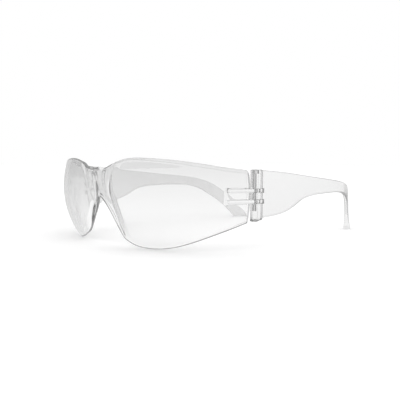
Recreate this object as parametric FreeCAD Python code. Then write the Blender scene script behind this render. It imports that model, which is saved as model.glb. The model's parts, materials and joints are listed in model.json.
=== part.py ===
"""Frameless wraparound safety glasses, in millimetres.

One moulded shield (two spherical lobes, bridge and nose saddle) carries two pairs of hinge lugs.
Each temple is a bent plate with a hinge block, and turns on its own headed pin.
Frame: X across (+X is the wearer's left), -Y forward, +Z up. The origin is on the surface that the
glasses stand on, midway along them, in the plane of symmetry.

The shield and the temples are skinned: a closed row of control points is laid around each cross
section, and a cubic surface is drawn over the rows, so that edges come out fully rounded.
"""
import FreeCAD, Part
import math
import os

V = FreeCAD.Vector

# ---- placing ----
pin_x = 70.0                    # hinge pin's distance from the plane of symmetry
pin_y = -37.2                   # hinge pins' place along Y

# ---- shield: lobes ----
shield_wall = 2.2
lobe_radius = 51.0              # outer sphere of each lobe
lobe_centre_x = 18.9
lobe_behind_pin = 4.8           # sphere centre, behind the pin
lobe_centre_z = 29.0
lobe_end_angle = 81.5           # hinge end, at the brow
lobe_foot_angle = 82.0          # hinge end, at the cheek
# outlines on the lobe: (angle from straight ahead about the sphere's upright axis, height)
brow_line = [(1.3, 44.5), (9.7, 45.5), (23.8, 45.4), (41.5, 44.4), (63.5, 41.9), (lobe_end_angle, 40.2)]
cheek_line = [(1.5, 2.6), (10.3, 0.4), (18.5, 0.0), (27.0, 0.1), (40.4, 1.9), (58.8, 6.9),
              (lobe_foot_angle, 13.4)]
# crease between lobe and nosepiece, bottom to top: (x, y from the pins, height)
crease_line = [(16.1, -39.3, 4.8), (14.7, -40.2, 10.0), (13.0, -40.3, 15.0), (11.0, -40.9, 20.0),
               (10.2, -42.6, 24.5), (9.6, -44.0, 28.5), (10.2, -44.8, 33.5), (12.4, -44.7, 39.5),
               (15.4, -44.1, 43.1)]
nasal_roll = 0.11               # share of the lobe's width that rolls back from the sphere to the crease

# ---- shield: bridge and nose saddle, places along Y counted from the pins ----
bridge_top_z = 38.8
bridge_front = -45.3
bridge_line = [(5.0, 39.5), (10.6, 41.0)]       # top edge, centre to crease: (x, height)
nose_arch_z = 26.9
nose_arch_front = -43.9
# rim that rests on the nose, centre to lower corner: (x, y, height)
nose_line = [(2.7, -41.7, 22.4), (5.3, -40.7, 19.0), (8.6, -40.0, 14.1), (12.0, -39.9, 9.5)]

# ---- hinge ----
pin_radius = 0.8
pin_head_radius = 1.1
pin_head_seat_z = 37.8          # the head sits in a counterbore
pin_top_z = 39.3
pin_head_easing = 0.3
pin_lower_end_z = 20.0
running_clearance = 0.05        # pin in the shield's lugs
fixed_clearance = 0.01          # pin in the temple's knuckles
lug_thickness = 1.9
lug_heights = (29.7, 24.45)
lug_eye_radius = 2.5
lug_root_radius = 1.5
lug_root_angle = 69.0           # where the lugs leave the lobe
lug_side_gap = 0.15
lug_pad_radius = 1.4            # half the pad's thickness through the wall
lug_pad_angle = 66.5            # the pad's far end
lug_pad_margin = 0.6            # pad beyond the lugs, up and down
lug_pad_setback = 2.5           # pad's last centre, degrees before the hinge end

block_toe_z = 14.5              # block's underside at its front, in line with the shield's lower edge
block_bottom_z = 15.7           # and at its back
block_top_z = 39.8
block_inside = 2.0              # block's faces, from the pin
block_outside = 3.0
block_front = 2.0
block_back = 3.1
block_corner_radius = 1.0
block_heel_radius = 1.9         # inner back corner, which turns past the shield's end
block_edge_radius = 0.7
slot_back = 3.7                 # slots reach this far behind the pin
stop_gap = 0.1                  # between a lug's heel and its slot's end, when open

# ---- temples, places along Y counted from the pins ----
temple_wall = 2.2
bow_radius = 216.0              # plan curve of the long part
bow_crest_x = 73.0
bow_crest_y = 28.5              # widest place
ear_bend_y = 81.0               # where the ear bend starts
ear_bend_radius = 40.0
ear_heading = 30.8              # final inward heading of the plan curve, degrees
tip_swell = 1.1                 # share that the tip thickens by at the floor
tip_swell_z = 8.0               # height where the tip starts to thicken
# cross sections, front to tip: lower edge (y, height) and upper edge (y, height)
temple_spans = [((1.0, 16.1), (1.0, 39.7)),
                ((9.0, 16.8), (9.0, 39.2)),
                ((18.0, 17.6), (19.0, 38.4)),
                ((26.0, 20.6), (28.0, 37.4)),
                ((33.0, 24.6), (36.0, 36.5)),
                ((45.0, 26.2), (46.0, 35.5)),
                ((60.0, 26.4), (61.0, 34.1)),
                ((76.0, 26.4), (79.0, 32.4)),
                ((86.1, 24.0), (90.6, 30.2)),
                ((93.1, 19.4), (99.6, 25.2)),
                ((100.1, 14.2), (107.1, 18.6)),
                ((107.1, 7.4), (114.1, 10.4)),
                ((110.9, 2.6), (119.6, 4.2)),
                ((112.6, 0.0), (120.0, 0.0))]


def blend(p, q, t):
    return p * (1 - t) + q * t


# ---- skinning ----
def skin(rows):
    """Solid under a cubic surface whose control points are closed rows; the end rows lie flat."""
    along_knots = list(range(len(rows) - 2))
    along_mults = [4] + [1] * (len(rows) - 4) + [4]
    around_knots = list(range(len(rows[0]) + 1))
    surface = Part.BSplineSurface()
    surface.buildFromPolesMultsKnots(rows, along_mults, [1] * len(around_knots), along_knots, around_knots,
                                     False, True, 3, 3)
    faces = [surface.toShape()]
    for end in (along_knots[0], along_knots[-1]):
        faces.append(Part.Face(Part.Wire([surface.uIso(end).toShape()])))
    shell = Part.makeShell(faces)
    shell.sewShape()
    solid = Part.makeSolid(shell)
    if solid.Volume < 0:
        solid.reverse()
    return solid


# ---- shield ----
def lobe_centre():
    return V(lobe_centre_x, pin_y + lobe_behind_pin, lobe_centre_z)


def lobe_reach(z):
    return math.sqrt(lobe_radius ** 2 - (z - lobe_centre_z) ** 2)


def on_lobe(angle, z):
    """Point of the lobe's outer sphere at an angle from straight ahead and a height."""
    turn = math.radians(angle)
    return lobe_centre() + V(lobe_reach(z) * math.sin(turn), -lobe_reach(z) * math.cos(turn), z - lobe_centre_z)


def lobe_angle(x, z):
    """Angle from straight ahead of the lobe's point at a given x and height."""
    return math.degrees(math.asin((x - lobe_centre_x) / lobe_reach(z)))


def curve(points):
    """Function from 0..1 to a point of a smooth curve through the points."""
    line = Part.BSplineCurve()
    line.interpolate(points)
    first, last = line.FirstParameter, line.LastParameter
    return lambda t: line.value(first + (last - first) * t)


def patch(left, right, low, high):
    """Four-sided blend of curves: left and right run up, low and high run from left to right."""
    def point(a, b):
        sides = blend(left(b), right(b), a) + blend(low(a), high(a), b)
        corners = blend(blend(low(0), low(1), a), blend(high(0), high(1), a), b)
        return sides - corners
    return point


def crease_points():
    return [V(x, pin_y + y, z) for x, y, z in crease_line]


def hinge_end(foot, top):
    """Lobe's hinge end from foot to top, in the plane through both and the sphere's centre."""
    low, high = on_lobe(foot.x, foot.y), on_lobe(top.x, top.y)

    def place(b):
        point = lobe_centre() + (blend(low, high, b) - lobe_centre()).normalize() * lobe_radius
        return V(lobe_angle(point.x, point.z), point.z, 0)
    return place


def lobe_patch():
    """Lobe from the crease to the hinge end: blended as (angle, height), laid on the sphere, rolled back."""
    crease = curve(crease_points())

    def crease_place(b):
        return V(lobe_angle(crease(b).x, crease(b).z), crease(b).z, 0)
    brow = [crease_place(1)] + [V(angle, z, 0) for angle, z in brow_line]
    cheek = [crease_place(0)] + [V(angle, z, 0) for angle, z in cheek_line]
    flat = patch(crease_place, hinge_end(cheek[-1], brow[-1]), curve(cheek), curve(brow))

    def point(a, b):
        place, edge = flat(a, b), crease_place(b)
        roll = crease(b) - on_lobe(edge.x, edge.y)
        return on_lobe(place.x, place.y) + roll * max(1 - a / nasal_roll, 0) ** 2
    return point


def nose_patch():
    """Bridge and nose saddle, from the plane of symmetry to the crease."""
    crease = crease_points()
    front = pin_y + bridge_front
    arch = V(0, pin_y + nose_arch_front, nose_arch_z)
    top = V(0, front, bridge_top_z)
    third = (bridge_top_z - nose_arch_z) / 3
    middle = [arch, V(0, front, nose_arch_z + third), V(0, front, bridge_top_z - third), top]
    upper = [top] + [V(x, front, z) for x, z in bridge_line] + [crease[-1]]
    lower = [arch] + [V(x, pin_y + y, z) for x, y, z in nose_line] + [crease[0]]
    return patch(curve(middle), curve(crease), curve(lower), curve(upper))


def inward_normal(point, a, b):
    """Unit normal of a patch, towards the wearer."""
    step = 0.01
    across = point(a + step, b) - point(a - step, b)
    up = point(a, min(b + step, 1)) - point(a, max(b - step, 0))
    return across.cross(up).normalize() * -1


def upright_row(outer, inward, wall, steps):
    """Control row around a wall along one upright line, from its outer face and the way inward."""
    span = outer(0).distanceToPoint(outer(1))
    tip = wall / 2 / span
    heights = [0] + [tip + (1 - 2 * tip) * i / steps for i in range(steps + 1)] + [1]
    front = [outer(b) for b in heights]
    back = [outer(b) + inward(b) * wall for b in heights]
    return front + back[::-1]


def shield_row(outer, inward):
    return upright_row(outer, inward, shield_wall, 8)


def nose_row(nose, a):
    def inward(b):
        normal = inward_normal(nose, max(a, 0.02), b)
        return V(0, normal.y, normal.z).normalize() if a == 0 else normal
    return shield_row(lambda b: nose(a, b), inward)


def lobe_row(lobe, a):
    def inward(b):
        if a < nasal_roll:
            return inward_normal(lobe, a, b)
        return (lobe_centre() - lobe(a, b)).normalize()
    return shield_row(lambda b: lobe(a, b), inward)


def crease_row(nose, lobe):
    def inward(b):
        one, other = inward_normal(nose, 0.98, b), inward_normal(lobe, 0.01, b)
        return (one + other) / (1 + one.dot(other))
    return shield_row(lambda b: lobe(0, b), inward)


def flipped(row):
    return [V(-p.x, p.y, p.z) for p in row]


def shield_rows():
    """Control rows from the right hinge end to the left one."""
    nose, lobe = nose_patch(), lobe_patch()
    left = [nose_row(nose, a) for a in (0, 0.2, 0.4, 0.6, 0.8, 0.94)]
    left.append(crease_row(nose, lobe))
    left += [lobe_row(lobe, a) for a in (0.02, 0.045, 0.075, 0.11, 0.16, 0.24, 0.34, 0.44, 0.54, 0.64, 0.74,
                                         0.84, 0.92, 1)]
    return [flipped(row) for row in left[:0:-1]] + left


def pin_axis(z):
    """Point of the left hinge's axis at a height."""
    return V(pin_x, pin_y, z)


def tapered_bar(start, start_radius, end, end_radius, thickness):
    """Flat bar with round ends, as wide as a circle at each end, centred on the start's height."""
    line = end - start
    spread = math.acos((start_radius - end_radius) / line.Length)
    heading = math.atan2(line.y, line.x)

    def rim(centre, radius, angle):
        return centre + V(math.cos(angle), math.sin(angle), 0) * radius
    corners = [rim(start, start_radius, heading + spread), rim(start, start_radius, heading - spread),
               rim(end, end_radius, heading - spread), rim(end, end_radius, heading + spread)]
    outline = [Part.Arc(corners[0], rim(start, start_radius, heading + math.pi), corners[1]).toShape(),
               Part.LineSegment(corners[1], corners[2]).toShape(),
               Part.Arc(corners[2], rim(end, end_radius, heading), corners[3]).toShape(),
               Part.LineSegment(corners[3], corners[0]).toShape()]
    bar = Part.Face(Part.Wire(outline)).extrude(V(0, 0, thickness))
    return bar.translated(V(0, 0, -thickness / 2))


def mid_wall(angle, z):
    """Point midway through the lobe's wall."""
    point = on_lobe(angle, z)
    inward = lobe_centre() - point
    return point + V(inward.x, inward.y, 0).normalize() * (shield_wall / 2)


def lug_heel(z):
    """Square heel behind the eye, which meets its slot's end when the temple is open."""
    corner = pin_axis(z - lug_thickness / 2)
    return Part.makeBox(lug_eye_radius, slot_back - stop_gap, lug_thickness, corner)


def hinge_lug(z):
    bar = tapered_bar(mid_wall(lug_root_angle, z), lug_root_radius, pin_axis(z), lug_eye_radius, lug_thickness)
    return bar.fuse(lug_heel(z))


def hinge_lugs():
    """Two lugs that leave the lobe's hinge end, and the shallow pad that they grow from."""
    middle = (max(lug_heights) + min(lug_heights)) / 2
    height = max(lug_heights) - min(lug_heights) + lug_thickness + 2 * lug_pad_margin
    pad = tapered_bar(mid_wall(lug_pad_angle, middle), lug_pad_radius,
                      mid_wall(lobe_end_angle - lug_pad_setback, middle), lug_pad_radius, height)
    return pad.fuse([hinge_lug(z) for z in lug_heights])


def bore(radius, low, high):
    return Part.makeCylinder(radius, high - low, pin_axis(low))


def mirrored(shape):
    return shape.mirror(V(0, 0, 0), V(1, 0, 0))


def lens():
    """The moulded shield with its four lugs."""
    lugs = hinge_lugs().cut(bore(pin_radius + running_clearance, block_bottom_z, block_top_z))
    return skin(shield_rows()).fuse([lugs, mirrored(lugs)]).removeSplitter()


# ---- temples, made for the left side ----
def bow_heading(y):
    return math.asin((y - bow_crest_y) / bow_radius)


def temple_plan(y):
    """Mid-wall point and inward heading of the temple's plan curve, at a place behind the pin."""
    reach = min(y, ear_bend_y)
    heading = bow_heading(reach)
    x = bow_crest_x - bow_radius * (1 - math.cos(heading))
    if y > ear_bend_y:
        final = math.radians(ear_heading)
        bend_end_y = ear_bend_y + ear_bend_radius * (math.sin(final) - math.sin(heading))
        turned = math.asin(math.sin(heading) + (min(y, bend_end_y) - ear_bend_y) / ear_bend_radius)
        x -= ear_bend_radius * (math.cos(heading) - math.cos(turned))
        x -= max(y - bend_end_y, 0) * math.tan(final)
        heading = turned
    return V(x, pin_y + y, 0), heading


def temple_row(low, high):
    """Control row around the temple between its lower and upper edge."""
    def place(b):
        point, heading = temple_plan(blend(low[0], high[0], b))
        return point + V(0, 0, blend(low[1], high[1], b)), V(math.cos(heading), math.sin(heading), 0)

    def thickening(point):
        return 1 + tip_swell * max(1 - point.z / tip_swell_z, 0)

    def outer(b):
        point, outward = place(b)
        return point + outward * (temple_wall / 2 * thickening(point))

    def inward(b):
        point, outward = place(b)
        return outward * -thickening(point)
    return upright_row(outer, inward, temple_wall, 4)


def hinge_block():
    """Solid block at the temple's front, with eased edges."""
    x, front, back = pin_x - block_inside, pin_y - block_front, pin_y + block_back
    side = [V(x, front, block_toe_z), V(x, back, block_bottom_z),
            V(x, back, block_top_z), V(x, front, block_top_z)]
    block = Part.Face(Part.makePolygon(side + side[:1])).extrude(V(block_inside + block_outside, 0, 0))

    def uprights(heel):
        edges = [e for e in block.Edges if abs(e.tangentAt(e.FirstParameter).z) > 0.5]
        return [e for e in edges if (e.CenterOfMass.x < pin_x and e.CenterOfMass.y > pin_y) == heel]
    block = block.makeFillet(block_corner_radius, uprights(heel=False))
    block = block.makeFillet(block_heel_radius, uprights(heel=True))
    rims = [e for e in block.Edges if e.BoundBox.ZMax - e.BoundBox.ZMin < block_front + block_back]
    return block.makeFillet(block_edge_radius, rims)


def lug_slot(z):
    height = lug_thickness + 2 * lug_side_gap
    width = block_inside + block_outside + 2 * temple_wall
    corner = V(pin_x - block_inside - temple_wall, pin_y - 2 * block_front, z - height / 2)
    return Part.makeBox(width, 2 * block_front + slot_back, height, corner)


def temple():
    """Bent plate, hinge block with two lug slots, and the pin's blind bore with a seat for its head."""
    body = skin([temple_row(low, high) for low, high in temple_spans]).fuse(hinge_block())
    cuts = [lug_slot(z) for z in lug_heights]
    cuts.append(bore(pin_radius + fixed_clearance, pin_lower_end_z - lug_side_gap, block_top_z))
    cuts.append(bore(pin_head_radius + fixed_clearance, pin_head_seat_z, 2 * block_top_z))
    return body.cut(cuts)


def hinge_pin():
    """Headed pin, pressed down through the block, with its head just below the block's top."""
    shaft = Part.makeCylinder(pin_radius, pin_head_seat_z - pin_lower_end_z, pin_axis(pin_lower_end_z))
    head = Part.makeCylinder(pin_head_radius, pin_top_z - pin_head_seat_z, pin_axis(pin_head_seat_z))
    head = head.makeFillet(pin_head_easing, [head.Edges[0]])
    return shaft.fuse(head)


def parts():
    return {"lens": lens(),
            "left_temple": temple(),
            "right_temple": mirrored(temple()),
            "left_hinge_pin": hinge_pin(),
            "right_hinge_pin": mirrored(hinge_pin())}


if __name__ == "__main__":
    os.makedirs("parts", exist_ok=True)
    for name, shape in parts().items():
        shape.exportStep("parts/" + name + ".step")
        print(name, shape.isValid(), len(shape.Solids), "solids", len(shape.Faces), "faces",
              round(shape.Volume), "mm3", shape.BoundBox)
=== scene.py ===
"""Frameless wraparound safety glasses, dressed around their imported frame.

The shield and both temples are smooth moulded meshes drawn over closed rows of cage points, with the
hinge lugs, hinge blocks and slots worked into them. The hinge pins are the frame's own. Everything is
in the frame's axes: +X is the wearer's left, -Y is forward and +Z is up. Shape sizes are in millimetres
until a mesh is made.
"""
import json
import math

import bmesh
import bpy
import numpy as np
from bpy.props import FloatProperty, FloatVectorProperty, IntProperty, PointerProperty
from mathutils import Matrix, Vector


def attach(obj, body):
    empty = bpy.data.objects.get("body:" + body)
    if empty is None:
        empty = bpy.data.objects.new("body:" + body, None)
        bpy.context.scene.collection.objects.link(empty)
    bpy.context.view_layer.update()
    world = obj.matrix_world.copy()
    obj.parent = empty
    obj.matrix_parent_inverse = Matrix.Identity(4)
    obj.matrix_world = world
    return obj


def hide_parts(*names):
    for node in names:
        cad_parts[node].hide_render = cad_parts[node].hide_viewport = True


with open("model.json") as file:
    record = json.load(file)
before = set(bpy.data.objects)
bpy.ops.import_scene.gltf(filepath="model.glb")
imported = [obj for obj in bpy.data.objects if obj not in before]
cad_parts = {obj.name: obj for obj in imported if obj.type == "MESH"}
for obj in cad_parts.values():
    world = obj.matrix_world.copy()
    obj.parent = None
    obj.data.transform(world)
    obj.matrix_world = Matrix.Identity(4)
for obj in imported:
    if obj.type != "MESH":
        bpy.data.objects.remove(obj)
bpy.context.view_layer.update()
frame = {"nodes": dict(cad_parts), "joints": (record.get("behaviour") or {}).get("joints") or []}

bl_info = {
    "name": "Safety Glasses",
    "version": (1, 0, 0),
    "blender": (4, 5, 0),
    "location": "View3D > Sidebar > Glasses",
    "description": "Makes clear wraparound safety glasses with folding temples on a white studio floor",
    "category": "Add Mesh",
}

MM = 0.001
SIDES = ("left", "right")


def pin_place():
    """Left hinge pin's axis in millimetres, read from the frame's joint."""
    for joint in frame["joints"]:
        if joint["name"] == "left_temple_fold":
            x, y, _ = joint["pos_m"]
            return x / MM, y / MM
    raise RuntimeError("the frame has no left_temple_fold joint")


PIN_X, PIN_Y = pin_place()

# ---- lobe spheres: the left one's centre, whose place along Y counts from the pins ----
LOBE_CENTRE_X = 18.9
LOBE_CENTRE_Z = 29.0
LOBE_BEHIND_PIN = 4.8

# ---- lobe outline: (angle from straight ahead about the lobe's upright axis, height) ----
LOBE_END = 81.5
LOBE_FOOT = 82.0
BROW = [(1.3, 44.5), (9.7, 45.5), (23.8, 45.4), (41.5, 44.4), (63.5, 41.9), (LOBE_END, 40.2)]
CHEEK = [(1.5, 2.6), (10.3, 0.4), (18.5, 0.0), (27.0, 0.1), (40.4, 1.9), (58.8, 6.9), (LOBE_FOOT, 13.4)]
NASAL_ROLL = 0.11  # share of a lobe's width that rolls back from the sphere to the crease
BROW_BEVEL = 2.3  # how far the brow's front rim drops at the hinge end

# ---- crease between a lobe and the nosepiece, bottom to top: (x, place from the pins, height) ----
CREASE = [(16.1, -39.3, 4.8), (14.7, -40.2, 10.0), (13.0, -40.3, 15.0),
          (11.0, -40.9, 20.0), (10.2, -42.6, 24.5), (9.6, -44.0, 28.5),
          (10.2, -44.8, 33.5), (12.4, -44.7, 39.5), (15.4, -44.1, 43.1)]

# ---- bridge and nose saddle: places along Y count from the pins ----
BRIDGE_TOP = 38.8
BRIDGE_FRONT = -45.3
BRIDGE_LINE = [(5.0, 39.5), (10.6, 41.0)]
NOSE_ARCH = 26.9
NOSE_ARCH_FRONT = -43.9
NOSE_LINE = [(2.7, -41.7, 22.4), (5.3, -40.7, 19.0), (8.6, -40.0, 14.1), (12.0, -39.9, 9.5)]

# ---- cage: where its upright rows stand, as shares of the way across, and the steps up a row ----
NOSE_ROWS = (0, 0.3, 0.6)
LOBE_ROWS = (0.02, 0.05, 0.11, 0.16, 0.24, 0.34, 0.44, 0.54, 0.64, 0.74, 0.84, 0.92, 1)
SHIELD_STEPS = 8
TEMPLE_STEPS = 4
NORMAL_STEP = 0.01  # share of a patch over which its slope is taken

# ---- temple outline, front to tip: lower edge and upper edge, each (place behind the pin, height) ----
TEMPLE_SPANS = [((1.0, 16.1), (1.0, 39.7)),
                ((9.0, 16.8), (9.0, 39.2)),
                ((18.0, 17.6), (19.0, 38.4)),
                ((26.0, 20.6), (28.0, 37.4)),
                ((33.0, 24.6), (36.0, 36.5)),
                ((45.0, 26.2), (46.0, 35.5)),
                ((60.0, 26.4), (61.0, 34.1)),
                ((76.0, 26.4), (79.0, 32.4)),
                ((86.1, 24.0), (90.6, 30.2)),
                ((93.1, 19.4), (99.6, 25.2)),
                ((100.1, 14.2), (107.1, 18.6)),
                ((107.1, 7.4), (114.1, 10.4)),
                ((110.9, 2.6), (119.6, 4.2)),
                ((112.6, 0.0), (120.0, 0.0))]
BOW_CREST = (73.0, 28.5)  # where a temple stands widest: (x, place behind the pin)
EAR_BEND_START = 81.0
TIP_SWELL_TOP = 8.0  # height below which a tip thickens

# ---- hinge lugs, and the shallow pad that they grow from ----
LOWER_LUG = 24.45
LUG_ROOT_RADIUS = 1.6
LUG_ROOT_ANGLE = 69.0
LUG_EDGE = 0.4
PAD_RADIUS = 1.15
PAD_ANGLE = 66.5
PAD_MARGIN = 0.6
PAD_SETBACK = 2.5

# ---- hinge pin and the gaps around it where it is held in the block ----
PIN_RADIUS = 0.8
PIN_LOWER_END = 20.0
PIN_HEAD_RADIUS = 1.1
PIN_HEAD_SEAT = 37.8
PIN_HELD_GAP = 0.01
PIN_END_GAP = 0.15

# ---- hinge block: heights, and reaches from the pin ----
BLOCK = {"toe": 14.5, "bottom": 15.7, "top": 39.8, "inside": 2.0, "outside": 3.0, "front": 2.0, "back": 3.1}
BLOCK_CORNER = 1.3
BLOCK_HEEL = 1.9  # inner back corner, which turns past the shield's end
BLOCK_EDGE = 0.7
SLOT_BACK = 3.7
SLOT_EDGE = 0.1
STOP_GAP = 0.1
PAST_TOP = 5.0  # how far the cutter of the head's seat stands over the block

# ---- fineness of round stretches, and the angle past which an edge stays sharp ----
LUG_ARC_STEPS = 16
BAR_STEPS = 48
PLATE_EDGE_STEPS = 3
BLOCK_EDGE_STEPS = 5
SHARP_ANGLE = 40.0

# ---- clear plastic ----
PAINTED_SHADE_LOW = 8.0  # heights between which the tint darkens from the foot's to the top's, a painted shade
PAINTED_SHADE_HIGH = 42.0
SHADOW_CLEARNESS = 0.985  # share of a lamp's light that each face lets through
TRAPPED_DEPTH = 5.5  # bounces after which light inside a wall starts to get out
TRAPPED_LEAK = 0.35  # share of it that gets out at each bounce after that

# ---- studio ----
FLOOR_HALF_WIDTH = 4.0  # metres
LAMP_TILT = (-18.0, 12.0)  # degrees about X and Y
SENSOR_WIDTH = 36.0
NEAREST_SIGHT = 0.01  # metres


def length(name, description, default):
    """Length property, given in millimetres and kept in metres."""
    return FloatProperty(name=name, description=description, default=default * MM, min=0.0,
                         unit="LENGTH", precision=5)


def colour(name, description, default):
    """Colour property."""
    return FloatVectorProperty(name=name, description=description, default=default, size=3,
                               min=0.0, max=1.0, subtype="COLOR")


class ShieldSettings(bpy.types.PropertyGroup):
    wall: length("Wall", "Thickness of the moulded shield", 2.2)
    lobe_radius: length("Lobe Radius", "Radius of each lobe's outer sphere", 51.0)
    # the plastic's own tint plus painted shade; the darker top colour is painted shade
    tint_and_shade: colour("Tint", "Colour that the shield's foot gives to what is behind it", (0.925, 0.925, 0.925))
    top_tint_and_shade: colour("Top Tint And Painted Shade", "Colour that its top gives to what is behind it", (0.755, 0.755, 0.755))
    index: FloatProperty(name="Refractive Index", description="How strongly the plastic bends light",
                         default=1.586, min=1.0, max=2.0)
    levels: IntProperty(name="Smoothing", description="Subdivision levels of the shield's cage",
                        default=3, min=1, max=4)


class TempleSettings(bpy.types.PropertyGroup):
    wall: length("Wall", "Thickness of a temple", 2.2)
    bow_radius: length("Bow Radius", "Plan radius of a temple's long part", 216.0)
    ear_radius: length("Ear Bend Radius", "Plan radius of the bend behind the ear", 40.0)
    ear_heading: FloatProperty(name="Ear Heading", description="How far the tips turn inwards",
                               default=math.radians(30.8), subtype="ANGLE")
    tip_swell: FloatProperty(name="Tip Swell", description="Share that a tip thickens by at the floor",
                             default=1.1, min=0.0)
    # the plastic's own tint plus painted shade; the darker top colour is painted shade
    tint_and_shade: colour("Tint", "Colour that a temple's low parts give to what is behind them", (0.80, 0.80, 0.80))
    top_tint_and_shade: colour("Top Tint And Painted Shade", "Colour that its high parts give to what is behind them", (0.83, 0.83, 0.83))
    levels: IntProperty(name="Smoothing", description="Subdivision levels of a temple's cage",
                        default=3, min=1, max=4)


class HingeSettings(bpy.types.PropertyGroup):
    lug_count: IntProperty(name="Lugs", description="Hinge lugs at each end of the shield",
                           default=2, min=1, max=4)
    lug_spacing: length("Lug Spacing", "Height from one lug to the next", 5.25)
    lug_thickness: length("Lug Thickness", "Height of one lug", 1.9)
    lug_eye_radius: length("Lug Eye Radius", "Radius of a lug around the pin", 2.5)
    side_gap: length("Side Gap", "Gap between a lug and its slot, above and below", 0.15)
    bore_gap: length("Bore Gap", "Gap between the pin and a lug's bore", 0.05)
    pin_colour: colour("Pin Colour", "Colour of the hinge pins' steel", (0.85, 0.85, 0.85))


class StageSettings(bpy.types.PropertyGroup):
    floor_colour: colour("Floor", "Colour of the studio floor", (0.97, 0.97, 0.97))
    lamp_strength: FloatProperty(name="Lamp", description="Strength of the soft overhead lamp",
                                 default=0.5, min=0.0)
    lamp_spread: FloatProperty(name="Lamp Spread", description="Angle that the overhead lamp fills",
                               default=math.radians(60.0), subtype="ANGLE")
    room_low: FloatProperty(name="Room, Low", description="Brightness of the room's foot in reflections",
                            default=0.84, min=0.0)
    room_high: FloatProperty(name="Room, High", description="Brightness of its ceiling in reflections",
                             default=0.65, min=0.0)
    camera_place: FloatVectorProperty(name="Camera", description="Where the camera stands", size=3,
                                      default=(0.24857, -0.23866, 0.0438), subtype="TRANSLATION",
                                      unit="LENGTH")
    camera_turn: FloatVectorProperty(name="Camera Angles",
                                     description="Camera's azimuth, fall and roll", size=3,
                                     default=(math.radians(47.204), math.radians(4.01), math.radians(0.215)),
                                     subtype="EULER")
    camera_lens: FloatProperty(name="Focal Length", description="Focal length on a 36 mm sensor",
                               default=50.0, unit="CAMERA")


# ---- plain shape maths ----
def blend(p, q, t):
    """Value between p and q, at share t of the way."""
    return p * (1 - t) + q * t


def smooth_curve(points):
    """Function from 0..1 to a point of a cubic through the points, with parabolic ends."""
    knots = np.array([tuple(p) for p in points], float)
    steps = np.linalg.norm(np.diff(knots, axis=0), axis=1)
    stations = np.concatenate([[0.0], np.cumsum(steps)])
    count = len(knots)
    matrix = np.zeros((count, count))
    kinks = np.zeros_like(knots)
    matrix[0, 0], matrix[0, 1] = 1, -1
    matrix[-1, -1], matrix[-1, -2] = 1, -1
    for i in range(1, count - 1):
        matrix[i, i - 1:i + 2] = steps[i - 1], 2 * (steps[i - 1] + steps[i]), steps[i]
        kinks[i] = 6 * ((knots[i + 1] - knots[i]) / steps[i] - (knots[i] - knots[i - 1]) / steps[i - 1])
    bends = np.linalg.solve(matrix, kinks)

    def value(t):
        s = t * stations[-1]
        i = min(max(int(np.searchsorted(stations, s)) - 1, 0), count - 2)
        a = (stations[i + 1] - s) / steps[i]
        b = 1 - a
        lift = ((a ** 3 - a) * bends[i] + (b ** 3 - b) * bends[i + 1]) * steps[i] ** 2 / 6
        return Vector(a * knots[i] + b * knots[i + 1] + lift)
    return value


def patch(left, right, low, high):
    """Four-sided blend of curves: left and right run up, low and high run from left to right."""
    def point(a, b):
        sides = blend(left(b), right(b), a) + blend(low(a), high(a), b)
        corners = blend(blend(low(0), low(1), a), blend(high(0), high(1), a), b)
        return sides - corners
    return point


def upright_row(outer, inward, wall, steps, bevel=0.0):
    """Closed row of cage points around a wall, up its outer face and down its inner one.

    A bevel drops the front rim by that much, while the back rim keeps its height.
    """
    tall = (outer(1) - outer(0)).length
    tip, drop = wall / 2 / tall, bevel / tall
    heights = [0] + [tip + (1 - 2 * tip) * i / steps for i in range(steps + 1)] + [1]
    front = [outer(b * (1 - drop)) for b in heights]
    back = [outer(b) + inward(b) * wall for b in heights]
    if bevel:
        back[-1].z = outer(1).z
    return front + back[::-1]


# ---- shield cage ----
class Lobe:
    """Sphere that the left lobe lies on."""

    def __init__(self, radius):
        self.radius = radius
        self.centre = Vector((LOBE_CENTRE_X, PIN_Y + LOBE_BEHIND_PIN, LOBE_CENTRE_Z))

    def reach(self, z):
        """Radius of the sphere's level section at a height."""
        return math.sqrt(self.radius ** 2 - (z - self.centre.z) ** 2)

    def point(self, angle, z):
        turn, reach = math.radians(angle), self.reach(z)
        return self.centre + Vector((reach * math.sin(turn), -reach * math.cos(turn), z - self.centre.z))

    def angle(self, x, z):
        return math.degrees(math.asin((x - self.centre.x) / self.reach(z)))

    def inward(self, point):
        return (self.centre - point).normalized()

    def mid_wall(self, angle, z, wall):
        """Point half a wall's thickness inside the sphere, on the level."""
        point = self.point(angle, z)
        inward = (self.centre - point).xy.normalized()
        return point + Vector((inward.x, inward.y, 0)) * wall / 2


def crease_points():
    """Crease of the left lobe, bottom to top."""
    return [Vector((x, PIN_Y + y, z)) for x, y, z in CREASE]


def hinge_end(lobe, foot, top):
    """Lobe's hinge end from foot to top, in the plane through both and the sphere's centre."""
    low, high = lobe.point(foot.x, foot.y), lobe.point(top.x, top.y)

    def place(b):
        point = lobe.centre - lobe.inward(blend(low, high, b)) * lobe.radius
        return Vector((lobe.angle(point.x, point.z), point.z, 0))
    return place


def lobe_patch(lobe):
    """Lobe from the crease to the hinge end: blended as (angle, height), laid on the sphere, rolled back."""
    crease = smooth_curve(crease_points())

    def crease_place(b):
        return Vector((lobe.angle(crease(b).x, crease(b).z), crease(b).z, 0))
    brow = [crease_place(1)] + [Vector((angle, z, 0)) for angle, z in BROW]
    cheek = [crease_place(0)] + [Vector((angle, z, 0)) for angle, z in CHEEK]
    flat = patch(crease_place, hinge_end(lobe, cheek[-1], brow[-1]), smooth_curve(cheek), smooth_curve(brow))

    def point(a, b):
        place, edge = flat(a, b), crease_place(b)
        roll = crease(b) - lobe.point(edge.x, edge.y)
        return lobe.point(place.x, place.y) + roll * max(1 - a / NASAL_ROLL, 0) ** 2
    return point


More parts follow.
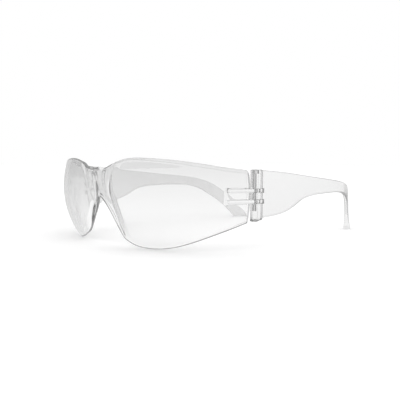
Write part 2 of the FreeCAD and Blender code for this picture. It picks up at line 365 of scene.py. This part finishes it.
def nose_patch():
    """Bridge and nose saddle, from the plane of symmetry to the crease."""
    crease = crease_points()
    front = PIN_Y + BRIDGE_FRONT
    arch = Vector((0, PIN_Y + NOSE_ARCH_FRONT, NOSE_ARCH))
    top = Vector((0, front, BRIDGE_TOP))
    third = (BRIDGE_TOP - NOSE_ARCH) / 3
    middle = [arch, Vector((0, front, NOSE_ARCH + third)), Vector((0, front, BRIDGE_TOP - third)), top]
    upper = [top] + [Vector((x, front, z)) for x, z in BRIDGE_LINE] + [crease[-1]]
    lower = [arch] + [Vector((x, PIN_Y + y, z)) for x, y, z in NOSE_LINE] + [crease[0]]
    return patch(smooth_curve(middle), smooth_curve(crease), smooth_curve(lower), smooth_curve(upper))


def patch_inward(point, a, b):
    """Unit normal of a patch, towards the wearer."""
    across = point(a + NORMAL_STEP, b) - point(a - NORMAL_STEP, b)
    up = point(a, min(b + NORMAL_STEP, 1)) - point(a, max(b - NORMAL_STEP, 0))
    return -across.cross(up).normalized()


def shield_rows(lobe, wall):
    """Cage rows from the right hinge end to the left one."""
    nose_at, lobe_at = nose_patch(), lobe_patch(lobe)

    def nose_row(a):
        def inward(b):
            # in the plane of symmetry the wall has no sideways slope
            normal = patch_inward(nose_at, max(a, 2 * NORMAL_STEP), b)
            return Vector((0, normal.y, normal.z)).normalized() if a == 0 else normal
        return upright_row(lambda b: nose_at(a, b), inward, wall, SHIELD_STEPS)

    def crease_row():
        def inward(b):
            nose_side = patch_inward(nose_at, 1 - 2 * NORMAL_STEP, b)
            lobe_side = patch_inward(lobe_at, NORMAL_STEP, b)
            return (nose_side + lobe_side) / (1 + nose_side.dot(lobe_side))  # mitre of both walls
        return upright_row(lambda b: lobe_at(0, b), inward, wall, SHIELD_STEPS)

    def lobe_row(a):
        def inward(b):
            return patch_inward(lobe_at, a, b) if a < NASAL_ROLL else lobe.inward(lobe_at(a, b))
        return upright_row(lambda b: lobe_at(a, b), inward, wall, SHIELD_STEPS, BROW_BEVEL * a)
    left = [nose_row(a) for a in NOSE_ROWS] + [crease_row()] + [lobe_row(a) for a in LOBE_ROWS]
    right = [[Vector((-p.x, p.y, p.z)) for p in row] for row in left[:0:-1]]
    return right + left


# ---- temple cage ----
def temple_plan(y, sizes):
    """Mid-wall point and inward heading of a temple's plan curve, at a place behind the pin."""
    bow, ear, final = sizes.bow_radius / MM, sizes.ear_radius / MM, sizes.ear_heading
    heading = math.asin((min(y, EAR_BEND_START) - BOW_CREST[1]) / bow)
    x = BOW_CREST[0] - bow * (1 - math.cos(heading))
    if y > EAR_BEND_START:
        bend_end = EAR_BEND_START + ear * (math.sin(final) - math.sin(heading))
        turned = math.asin(math.sin(heading) + (min(y, bend_end) - EAR_BEND_START) / ear)
        x -= ear * (math.cos(heading) - math.cos(turned)) + max(y - bend_end, 0) * math.tan(final)
        heading = turned
    return Vector((x, PIN_Y + y, 0)), heading


def temple_row(low, high, sizes):
    """Closed row of cage points around a temple's wall, between its lower and its upper edge."""
    wall = sizes.wall / MM

    def place(b):
        point, heading = temple_plan(blend(low[0], high[0], b), sizes)
        outward = Vector((math.cos(heading), math.sin(heading), 0))
        return point + Vector((0, 0, blend(low[1], high[1], b))), outward

    def thickening(point):
        return 1 + sizes.tip_swell * max(1 - point.z / TIP_SWELL_TOP, 0)

    def outer(b):
        point, outward = place(b)
        return point + outward * wall / 2 * thickening(point)

    def inward(b):
        point, outward = place(b)
        return -outward * thickening(point)
    return upright_row(outer, inward, wall, TEMPLE_STEPS)


# ---- meshes ----
def new_object(name, data):
    """Object at the origin around a mesh, a lamp or a camera."""
    piece = bpy.data.objects.new(name, data)
    bpy.context.scene.collection.objects.link(piece)
    return piece


def object_from(bm, name):
    """Object from a bmesh in millimetres, with its faces turned outwards."""
    bmesh.ops.recalc_face_normals(bm, faces=bm.faces)
    bmesh.ops.scale(bm, vec=(MM, MM, MM), verts=bm.verts)
    mesh = bpy.data.meshes.new(name)
    bm.to_mesh(mesh)
    bm.free()
    return new_object(name, mesh)


def baked(piece):
    """Turns a piece's modifiers into its plain mesh."""
    bpy.context.view_layer.update()
    mesh = bpy.data.meshes.new_from_object(piece.evaluated_get(bpy.context.evaluated_depsgraph_get()))
    piece.modifiers.clear()
    old, piece.data = piece.data, mesh
    mesh.name = piece.name
    bpy.data.meshes.remove(old)
    return piece


def cage_object(rows, name, levels):
    """Smooth closed piece over rows of cage points. Its end sections stay flat and sharp."""
    bm = bmesh.new()
    grid = [[bm.verts.new(p) for p in row] for row in rows]
    around = len(rows[0])
    for low, high in zip(grid, grid[1:]):
        for j in range(around):
            k = (j + 1) % around
            bm.faces.new((low[j], low[k], high[k], high[j]))
    for row in (grid[0], grid[-1]):
        for j in range(around // 2 - 1):
            bm.faces.new((row[j], row[j + 1], row[around - 2 - j], row[around - 1 - j]))
    crease = bm.edges.layers.float.new("crease_edge")
    for row in (grid[0], grid[-1]):
        for j in range(around):
            bm.edges.get((row[j], row[(j + 1) % around]))[crease] = 1.0
    piece = object_from(bm, name)
    smoothing = piece.modifiers.new("smoothing", "SUBSURF")
    smoothing.levels = smoothing.render_levels = levels
    return baked(piece)


def extruded_corners(bm, base):
    """Extrudes a face and gives the new face's corners, still to be moved."""
    grown = bmesh.ops.extrude_face_region(bm, geom=[base])
    return [part for part in grown["geom"] if isinstance(part, bmesh.types.BMVert)]


def plate(outline, low, high, name, edge_radius):
    """Upright plate over a plan outline, with eased upper and lower rims."""
    bm = bmesh.new()
    base = bm.faces.new([bm.verts.new((x, y, low)) for x, y in outline])
    bmesh.ops.translate(bm, vec=(0, 0, high - low), verts=extruded_corners(bm, base))
    rims = [e for e in bm.edges if abs(e.verts[0].co.z - e.verts[1].co.z) < (high - low) / 2]
    bmesh.ops.bevel(bm, geom=rims, offset=edge_radius, segments=PLATE_EDGE_STEPS, profile=0.5,
                    affect="EDGES", clamp_overlap=True)
    return object_from(bm, name)


def arc(centre, radius, start, end, steps):
    """Plan points along an arc, from one heading to another."""
    turns = [blend(start, end, i / steps) for i in range(steps + 1)]
    return [(centre.x + radius * math.cos(t), centre.y + radius * math.sin(t)) for t in turns]


def tapered_outline(start, start_radius, end, end_radius):
    """Plan outline around two circles."""
    line = end - start
    spread = math.acos((start_radius - end_radius) / line.xy.length)
    heading = math.atan2(line.y, line.x)
    return (arc(end, end_radius, heading - spread, heading + spread, LUG_ARC_STEPS)
            + arc(start, start_radius, heading + spread, heading + math.tau - spread, LUG_ARC_STEPS))


def combined(piece, other, operation):
    """Cuts another piece out of a piece, or melts it in, and removes the other."""
    step = piece.modifiers.new(operation.lower(), "BOOLEAN")
    step.object, step.operation, step.solver = other, operation, "EXACT"
    baked(piece)
    mesh = other.data
    bpy.data.objects.remove(other)
    bpy.data.meshes.remove(mesh)
    return piece


def mirrored(piece, name):
    """Copy of a piece, reflected in the plane of symmetry."""
    copy = new_object(name, piece.data.copy())
    copy.data.name = name
    copy.data.transform(Matrix.Scale(-1, 4, (1, 0, 0)))
    copy.data.flip_normals()
    return copy


def finished(piece, material):
    """Shades a piece smooth between its real edges and gives it its material."""
    piece.data.shade_smooth()
    piece.data.set_sharp_from_angle(angle=math.radians(SHARP_ANGLE))
    piece.data.materials.clear()
    piece.data.materials.append(material)
    return piece


# ---- stacked copies, for the lugs and their slots ----
def stack_tree():
    """Node tree that repeats its geometry upwards."""
    tree = bpy.data.node_groups.get("Stacked Copies")
    if tree:
        return tree
    tree = bpy.data.node_groups.new("Stacked Copies", "GeometryNodeTree")
    face = tree.interface
    face.new_socket("Geometry", in_out="INPUT", socket_type="NodeSocketGeometry")
    count = face.new_socket("Count", in_out="INPUT", socket_type="NodeSocketInt")
    count.default_value, count.min_value = 2, 1
    face.new_socket("Spacing", in_out="INPUT", socket_type="NodeSocketFloat")
    face.new_socket("Material", in_out="INPUT", socket_type="NodeSocketMaterial")
    face.new_socket("Geometry", in_out="OUTPUT", socket_type="NodeSocketGeometry")
    nodes, links = tree.nodes, tree.links
    source, result = nodes.new("NodeGroupInput"), nodes.new("NodeGroupOutput")
    offset = nodes.new("ShaderNodeCombineXYZ")
    line = nodes.new("GeometryNodeMeshLine")
    copies = nodes.new("GeometryNodeInstanceOnPoints")
    real = nodes.new("GeometryNodeRealizeInstances")
    paint = nodes.new("GeometryNodeSetMaterial")
    links.new(source.outputs["Spacing"], offset.inputs["Z"])
    links.new(source.outputs["Count"], line.inputs["Count"])
    links.new(offset.outputs["Vector"], line.inputs["Offset"])
    links.new(line.outputs["Mesh"], copies.inputs["Points"])
    links.new(source.outputs["Geometry"], copies.inputs["Instance"])
    links.new(copies.outputs["Instances"], real.inputs["Geometry"])
    links.new(real.outputs["Geometry"], paint.inputs["Geometry"])
    links.new(source.outputs["Material"], paint.inputs["Material"])
    links.new(paint.outputs["Geometry"], result.inputs["Geometry"])
    return tree


def stacked(piece, count, spacing, material):
    """Repeats a piece upwards and bakes the copies into its mesh."""
    step = piece.modifiers.new("stack", "NODES")
    step.node_group = stack_tree()
    values = {"Count": count, "Spacing": spacing, "Material": material}
    for item in step.node_group.interface.items_tree:
        if item.in_out == "INPUT" and item.name in values:
            step[item.identifier] = values[item.name]
    return baked(piece)


# ---- hinge shapes ----
def box_outline(left, right, front, back):
    """Plan outline of a box."""
    return [(left, front), (right, front), (right, back), (left, back)]


def round_bar(radius, low, high, name):
    """Upright bar on the left hinge's axis, with rims eased by a twentieth of its radius."""
    centre = Vector((PIN_X, PIN_Y, 0))
    return plate(arc(centre, radius, 0, math.tau, BAR_STEPS)[:-1], low, high, name, radius / 20)


def hinge_lugs(lobe, wall, hinge, material):
    """Left lugs with their heels and bore, on the shallow pad that they grow from."""
    half = hinge.lug_thickness / MM / 2
    eye = hinge.lug_eye_radius / MM
    spacing = hinge.lug_spacing / MM
    pin = Vector((PIN_X, PIN_Y, LOWER_LUG))
    root = lobe.mid_wall(LUG_ROOT_ANGLE, LOWER_LUG, wall)
    lugs = plate(tapered_outline(root, LUG_ROOT_RADIUS, pin, eye), LOWER_LUG - half, LOWER_LUG + half,
                 "lugs", LUG_EDGE)
    heel = plate(box_outline(PIN_X, PIN_X + eye, PIN_Y, PIN_Y + SLOT_BACK - STOP_GAP),
                 LOWER_LUG - half, LOWER_LUG + half, "heel", LUG_EDGE)
    combined(lugs, heel, "UNION")
    stacked(lugs, hinge.lug_count, hinge.lug_spacing, material)
    rise = spacing * (hinge.lug_count - 1)
    middle = LOWER_LUG + rise / 2
    reach = rise / 2 + half + PAD_MARGIN
    pad_outline = tapered_outline(lobe.mid_wall(PAD_ANGLE, middle, wall), PAD_RADIUS,
                                  lobe.mid_wall(LOBE_END - PAD_SETBACK, middle, wall), PAD_RADIUS)
    combined(lugs, plate(pad_outline, middle - reach, middle + reach, "pad", LUG_EDGE), "UNION")
    hole = round_bar(PIN_RADIUS + hinge.bore_gap / MM, BLOCK["bottom"], BLOCK["top"], "hole")
    return combined(lugs, hole, "DIFFERENCE")


def hinge_block():
    """Block at a temple's front, with eased edges and an underside that slants down to the front."""
    outline = box_outline(PIN_X - BLOCK["inside"], PIN_X + BLOCK["outside"],
                          PIN_Y - BLOCK["front"], PIN_Y + BLOCK["back"])
    bm = bmesh.new()
    base = bm.faces.new([bm.verts.new((x, y, BLOCK["toe" if y < PIN_Y else "bottom"])) for x, y in outline])
    for corner in extruded_corners(bm, base):
        corner.co.z = BLOCK["top"]
    rise = BLOCK["top"] - BLOCK["bottom"]

    def edge_kind(edge):
        low, high = (corner.co for corner in edge.verts)
        if abs(high.z - low.z) < rise / 2:
            return "rim"
        return "heel" if low.x < PIN_X and low.y > PIN_Y else "upright"
    for kind, radius in (("upright", BLOCK_CORNER), ("heel", BLOCK_HEEL), ("rim", BLOCK_EDGE)):
        edges = [e for e in bm.edges if edge_kind(e) == kind and len(e.link_faces) == 2]
        bmesh.ops.bevel(bm, geom=edges, offset=radius, segments=BLOCK_EDGE_STEPS, profile=0.5,
                        affect="EDGES")
    return object_from(bm, "block")


def lug_slots(hinge, material):
    """Cutter for the slots that the lugs turn in. It stands out of the block on three sides."""
    half = hinge.lug_thickness / MM / 2 + hinge.side_gap / MM
    outline = box_outline(PIN_X - 2 * BLOCK["inside"], PIN_X + 2 * BLOCK["outside"],
                          PIN_Y - 2 * BLOCK["front"], PIN_Y + SLOT_BACK)
    slots = plate(outline, LOWER_LUG - half, LOWER_LUG + half, "slots", SLOT_EDGE)
    return stacked(slots, hinge.lug_count, hinge.lug_spacing, material)


# ---- materials ----
def new_material(name):
    """Material with an empty node tree, its nodes and its links."""
    material = bpy.data.materials.new(name)
    material.use_nodes = True
    nodes = material.node_tree.nodes
    nodes.clear()
    return material, nodes, material.node_tree.links


def mould_finish_and_shade_group():
    """Shader group for a moulded surface: a flow wave, a faint haze, and a tint that darkens upwards as
    painted shade.
    """
    group = bpy.data.node_groups.get("Mould Finish And Painted Shade")
    if group:
        return group
    group = bpy.data.node_groups.new("Mould Finish And Painted Shade", "ShaderNodeTree")
    face = group.interface
    for name, default in (("Wave Size", 60.0), ("Haze Size", 900.0),
                          ("Clear Roughness", 0.0), ("Haze Roughness", 0.03)):
        face.new_socket(name, in_out="INPUT", socket_type="NodeSocketFloat").default_value = default
    for name in ("Foot Tint And Painted Shade", "Top Tint And Painted Shade"):
        face.new_socket(name, in_out="INPUT", socket_type="NodeSocketColor")
    face.new_socket("Tint", in_out="OUTPUT", socket_type="NodeSocketColor")
    face.new_socket("Height", in_out="OUTPUT", socket_type="NodeSocketFloat")
    face.new_socket("Roughness", in_out="OUTPUT", socket_type="NodeSocketFloat")
    nodes, links = group.nodes, group.links
    source, result = nodes.new("NodeGroupInput"), nodes.new("NodeGroupOutput")
    place = nodes.new("ShaderNodeTexCoord")
    wave, haze = nodes.new("ShaderNodeTexNoise"), nodes.new("ShaderNodeTexNoise")
    wave.inputs["Detail"].default_value = 1.0
    haze.inputs["Detail"].default_value = 4.0
    spread = nodes.new("ShaderNodeMapRange")
    spread.inputs["From Min"].default_value = 0.55
    spread.inputs["From Max"].default_value = 0.75
    axes = nodes.new("ShaderNodeSeparateXYZ")
    # painted shade: the tint darkens from the foot's colour to the top's as the height climbs
    climb = nodes.new("ShaderNodeMapRange")
    climb.inputs["From Min"].default_value = PAINTED_SHADE_LOW * MM
    climb.inputs["From Max"].default_value = PAINTED_SHADE_HIGH * MM
    tint_and_shade = nodes.new("ShaderNodeMix")
    tint_and_shade.data_type = "RGBA"
    foot, top, mixed = tint_and_shade.inputs[6], tint_and_shade.inputs[7], tint_and_shade.outputs[2]  # the mix node's colour sockets
    links.new(place.outputs["Object"], axes.inputs["Vector"])
    links.new(axes.outputs["Z"], climb.inputs["Value"])
    links.new(climb.outputs["Result"], tint_and_shade.inputs["Factor"])
    links.new(source.outputs["Foot Tint And Painted Shade"], foot)
    links.new(source.outputs["Top Tint And Painted Shade"], top)
    links.new(mixed, result.inputs["Tint"])
    links.new(place.outputs["Object"], wave.inputs["Vector"])
    links.new(place.outputs["Object"], haze.inputs["Vector"])
    links.new(source.outputs["Wave Size"], wave.inputs["Scale"])
    links.new(source.outputs["Haze Size"], haze.inputs["Scale"])
    links.new(haze.outputs["Fac"], spread.inputs["Value"])
    links.new(source.outputs["Clear Roughness"], spread.inputs["To Min"])
    links.new(source.outputs["Haze Roughness"], spread.inputs["To Max"])
    links.new(wave.outputs["Fac"], result.inputs["Height"])
    links.new(spread.outputs["Result"], result.inputs["Roughness"])
    return group


def clear_plastic(name, foot_tint_and_shade, top_tint_and_shade, index):
    """Clear polycarbonate. Lamps shine through it, with a little taken off at each face.

    Part of the light that is caught inside a wall gets out, so that the rims stay grey.
    """
    material, nodes, links = new_material(name)
    output = nodes.new("ShaderNodeOutputMaterial")
    plastic = nodes.new("ShaderNodeBsdfPrincipled")
    plastic.inputs["Metallic"].default_value = 0.0
    plastic.inputs["IOR"].default_value = index
    plastic.inputs["Transmission Weight"].default_value = 1.0
    finish_and_shade = nodes.new("ShaderNodeGroup")
    finish_and_shade.node_tree = mould_finish_and_shade_group()
    finish_and_shade.inputs["Foot Tint And Painted Shade"].default_value = (*foot_tint_and_shade, 1.0)
    finish_and_shade.inputs["Top Tint And Painted Shade"].default_value = (*top_tint_and_shade, 1.0)
    bump = nodes.new("ShaderNodeBump")
    bump.inputs["Strength"].default_value = 0.04
    bump.inputs["Distance"].default_value = 0.0004
    through = nodes.new("ShaderNodeBsdfTransparent")
    through.inputs["Color"].default_value = (SHADOW_CLEARNESS, SHADOW_CLEARNESS, SHADOW_CLEARNESS, 1.0)
    path = nodes.new("ShaderNodeLightPath")
    trapped = nodes.new("ShaderNodeMath")
    trapped.operation = "GREATER_THAN"
    trapped.inputs[1].default_value = TRAPPED_DEPTH
    open_share = nodes.new("ShaderNodeMath")
    open_share.operation = "MULTIPLY_ADD"
    open_share.use_clamp = True
    open_share.inputs[1].default_value = TRAPPED_LEAK
    mix = nodes.new("ShaderNodeMixShader")
    # base colour: the plastic's tint, with painted shade that darkens it towards the top
    links.new(finish_and_shade.outputs["Tint"], plastic.inputs["Base Color"])
    links.new(finish_and_shade.outputs["Height"], bump.inputs["Height"])
    links.new(bump.outputs["Normal"], plastic.inputs["Normal"])
    links.new(finish_and_shade.outputs["Roughness"], plastic.inputs["Roughness"])
    links.new(path.outputs["Ray Depth"], trapped.inputs[0])
    links.new(trapped.outputs["Value"], open_share.inputs[0])
    links.new(path.outputs["Is Shadow Ray"], open_share.inputs[2])
    links.new(open_share.outputs["Value"], mix.inputs["Fac"])
    links.new(plastic.outputs["BSDF"], mix.inputs[1])
    links.new(through.outputs["BSDF"], mix.inputs[2])
    links.new(mix.outputs["Shader"], output.inputs["Surface"])
    return material


def pin_steel(steel_colour):
    """Drawn steel wire: a fine grain across it, and a duller patch here and there."""
    material, nodes, links = new_material("pin steel")
    output = nodes.new("ShaderNodeOutputMaterial")
    steel = nodes.new("ShaderNodeBsdfPrincipled")
    steel.inputs["Base Color"].default_value = (*steel_colour, 1.0)
    steel.inputs["Metallic"].default_value = 1.0
    place = nodes.new("ShaderNodeTexCoord")
    stretch = nodes.new("ShaderNodeMapping")
    stretch.inputs["Scale"].default_value = (1.0, 1.0, 12.0)
    grain = nodes.new("ShaderNodeTexNoise")
    grain.inputs["Scale"].default_value = 900.0
    dull = nodes.new("ShaderNodeMapRange")
    dull.inputs["To Min"].default_value = 0.22
    dull.inputs["To Max"].default_value = 0.42
    bump = nodes.new("ShaderNodeBump")
    bump.inputs["Strength"].default_value = 0.1
    bump.inputs["Distance"].default_value = 0.00005
    links.new(place.outputs["Object"], stretch.inputs["Vector"])
    links.new(stretch.outputs["Vector"], grain.inputs["Vector"])
    links.new(grain.outputs["Fac"], dull.inputs["Value"])
    links.new(dull.outputs["Result"], steel.inputs["Roughness"])
    links.new(grain.outputs["Fac"], bump.inputs["Height"])
    links.new(bump.outputs["Normal"], steel.inputs["Normal"])
    links.new(steel.outputs["BSDF"], output.inputs["Surface"])
    return material


# ---- operators ----
class GLASSES_OT_shield(bpy.types.Operator):
    """Make the moulded shield with its hinge lugs"""
    bl_idname = "glasses.make_shield"
    bl_label = "Make Shield"

    def execute(self, context):
        sizes, hinge = context.scene.glasses_shield, context.scene.glasses_hinge
        wall = sizes.wall / MM
        lobe = Lobe(sizes.lobe_radius / MM)
        plastic = clear_plastic("clear shield", sizes.tint_and_shade, sizes.top_tint_and_shade, sizes.index)
        shield = cage_object(shield_rows(lobe, wall), "Shield", sizes.levels)
        left = hinge_lugs(lobe, wall, hinge, plastic)
        right = mirrored(left, "right_lugs")
        combined(shield, left, "UNION")
        combined(shield, right, "UNION")
        finished(shield, plastic)
        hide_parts("lens")
        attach(shield, "shield")
        return {"FINISHED"}


class GLASSES_OT_temples(bpy.types.Operator):
    """Make both temples with their hinge blocks"""
    bl_idname = "glasses.make_temples"
    bl_label = "Make Temples"

    def execute(self, context):
        sizes, hinge = context.scene.glasses_temple, context.scene.glasses_hinge
        index = context.scene.glasses_shield.index
        plastic = clear_plastic("clear temple", sizes.tint_and_shade, sizes.top_tint_and_shade, index)
        rows = [temple_row(low, high, sizes) for low, high in TEMPLE_SPANS]
        left = cage_object(rows, "Left_Temple", sizes.levels)
        combined(left, hinge_block(), "UNION")
        combined(left, lug_slots(hinge, plastic), "DIFFERENCE")
        bore = round_bar(PIN_RADIUS + PIN_HELD_GAP, PIN_LOWER_END - PIN_END_GAP, BLOCK["top"], "bore")
        combined(left, bore, "DIFFERENCE")
        seat = round_bar(PIN_HEAD_RADIUS + PIN_HELD_GAP, PIN_HEAD_SEAT, BLOCK["top"] + PAST_TOP, "seat")
        combined(left, seat, "DIFFERENCE")
        for side, piece in zip(SIDES, (left, mirrored(left, "Right_Temple"))):
            finished(piece, plastic)
            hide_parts(side + "_temple")
            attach(piece, side + "_arm")
        return {"FINISHED"}


class GLASSES_OT_hinge_pins(bpy.types.Operator):
    """Give the frame's hinge pins their steel"""
    bl_idname = "glasses.finish_pins"
    bl_label = "Finish Hinge Pins"

    def execute(self, context):
        steel = pin_steel(context.scene.glasses_hinge.pin_colour)
        for side in SIDES:
            pin = frame["nodes"][side + "_hinge_pin"]
            for slot in pin.material_slots:
                slot.material = steel
        return {"FINISHED"}


def after_reflection(nodes, links):
    """Socket that is 1 for light that has been reflected by a glossy surface, and otherwise 0."""
    path = nodes.new("ShaderNodeLightPath")
    bounced = nodes.new("ShaderNodeMath")
    bounced.operation = "GREATER_THAN"
    bounced.inputs[1].default_value = 0.5
    links.new(path.outputs["Glossy Depth"], bounced.inputs[0])
    return bounced.outputs["Value"]


def floor_material(stage):
    """White floor that keeps soft shadows, and is as bright as the foot of the room in reflections."""
    material, nodes, links = new_material("studio floor")
    output = nodes.new("ShaderNodeOutputMaterial")
    lit = nodes.new("ShaderNodeBsdfDiffuse")
    lit.inputs["Color"].default_value = (*stage.floor_colour, 1.0)
    glow = nodes.new("ShaderNodeEmission")
    glow.inputs["Strength"].default_value = stage.room_low
    mix = nodes.new("ShaderNodeMixShader")
    links.new(after_reflection(nodes, links), mix.inputs["Fac"])
    links.new(lit.outputs["BSDF"], mix.inputs[1])
    links.new(glow.outputs["Emission"], mix.inputs[2])
    links.new(mix.outputs["Shader"], output.inputs["Surface"])
    return material


def studio_world(stage):
    """White backdrop for sight and for light through clear plastic, and a dimmer room in reflections."""
    world = bpy.data.worlds.new("studio")
    world.use_nodes = True
    nodes, links = world.node_tree.nodes, world.node_tree.links
    nodes.clear()
    output = nodes.new("ShaderNodeOutputWorld")
    back = nodes.new("ShaderNodeBackground")
    back.inputs["Color"].default_value = (1.0, 1.0, 1.0, 1.0)
    place = nodes.new("ShaderNodeTexCoord")
    axes = nodes.new("ShaderNodeSeparateXYZ")
    rise = nodes.new("ShaderNodeMapRange")
    rise.inputs["From Min"].default_value = 0.0
    rise.inputs["From Max"].default_value = 0.5
    rise.inputs["To Min"].default_value = stage.room_low
    rise.inputs["To Max"].default_value = stage.room_high
    pick = nodes.new("ShaderNodeMix")
    pick.data_type = "FLOAT"
    pick.inputs["A"].default_value = 1.0
    links.new(place.outputs["Generated"], axes.inputs["Vector"])
    links.new(axes.outputs["Z"], rise.inputs["Value"])
    links.new(after_reflection(nodes, links), pick.inputs["Factor"])
    links.new(rise.outputs["Result"], pick.inputs["B"])
    links.new(pick.outputs["Result"], back.inputs["Strength"])
    links.new(back.outputs["Background"], output.inputs["Surface"])
    bpy.context.scene.world = world


def studio_floor(stage):
    """Wide level floor under the glasses."""
    bm = bmesh.new()
    bmesh.ops.create_grid(bm, x_segments=8, y_segments=8, size=FLOOR_HALF_WIDTH / MM)
    floor = object_from(bm, "Studio_Floor")
    floor.data.materials.append(floor_material(stage))


def studio_lamp(stage):
    """Soft lamp overhead, which does not show in the plastic."""
    light = bpy.data.lights.new("overhead", "SUN")
    light.energy, light.angle = stage.lamp_strength, stage.lamp_spread
    lamp = new_object("Overhead_Lamp", light)
    lamp.rotation_euler = (math.radians(LAMP_TILT[0]), math.radians(LAMP_TILT[1]), 0)
    lamp.visible_glossy = lamp.visible_transmission = False


def studio_camera(stage):
    """Camera from its place, azimuth, fall and roll."""
    azimuth, fall, roll = stage.camera_turn
    ahead = Vector((-math.sin(azimuth) * math.cos(fall), math.cos(azimuth) * math.cos(fall), -math.sin(fall)))
    level = Vector((math.cos(azimuth), math.sin(azimuth), 0))
    upright = level.cross(ahead)
    right = level * math.cos(roll) + upright * math.sin(roll)
    up = right.cross(ahead)
    view = Matrix((right, up, -ahead)).transposed().to_4x4()
    lens = bpy.data.cameras.new("camera")
    lens.lens, lens.sensor_width = stage.camera_lens, SENSOR_WIDTH
    lens.clip_start = NEAREST_SIGHT
    camera = new_object("Camera", lens)
    camera.matrix_world = Matrix.Translation(stage.camera_place) @ view
    bpy.context.scene.camera = camera


class GLASSES_OT_stage(bpy.types.Operator):
    """Make the studio floor, world, lamp and camera"""
    bl_idname = "glasses.make_stage"
    bl_label = "Make Stage"

    def execute(self, context):
        stage = context.scene.glasses_stage
        studio_floor(stage)
        studio_world(stage)
        studio_lamp(stage)
        studio_camera(stage)
        context.scene.view_settings.view_transform = "Standard"
        return {"FINISHED"}


class GLASSES_PT_panel(bpy.types.Panel):
    """Operators and sizes in the sidebar of the 3D view"""
    bl_idname = "GLASSES_PT_panel"
    bl_label = "Safety Glasses"
    bl_space_type = "VIEW_3D"
    bl_region_type = "UI"
    bl_category = "Glasses"

    def draw(self, context):
        for operator, settings in zip(OPERATORS, SETTINGS):
            box = self.layout.box()
            box.operator(operator.bl_idname)
            group = getattr(context.scene, settings)
            for name in group.bl_rna.properties.keys():
                if name not in ("rna_type", "name"):
                    box.prop(group, name)


SETTINGS = {"glasses_shield": ShieldSettings, "glasses_temple": TempleSettings,
            "glasses_hinge": HingeSettings, "glasses_stage": StageSettings}
OPERATORS = (GLASSES_OT_shield, GLASSES_OT_temples, GLASSES_OT_hinge_pins, GLASSES_OT_stage)
CLASSES = (*SETTINGS.values(), *OPERATORS, GLASSES_PT_panel)


def register():
    for cls in CLASSES:
        bpy.utils.register_class(cls)
    for name, group in SETTINGS.items():
        setattr(bpy.types.Scene, name, PointerProperty(type=group))


def unregister():
    for name in SETTINGS:
        delattr(bpy.types.Scene, name)
    for cls in reversed(CLASSES):
        bpy.utils.unregister_class(cls)


def main():
    """Makes the glasses and their stage."""
    register()
    bpy.ops.glasses.make_shield()
    bpy.ops.glasses.make_temples()
    bpy.ops.glasses.finish_pins()
    bpy.ops.glasses.make_stage()


if __name__ == "__main__":
    main()
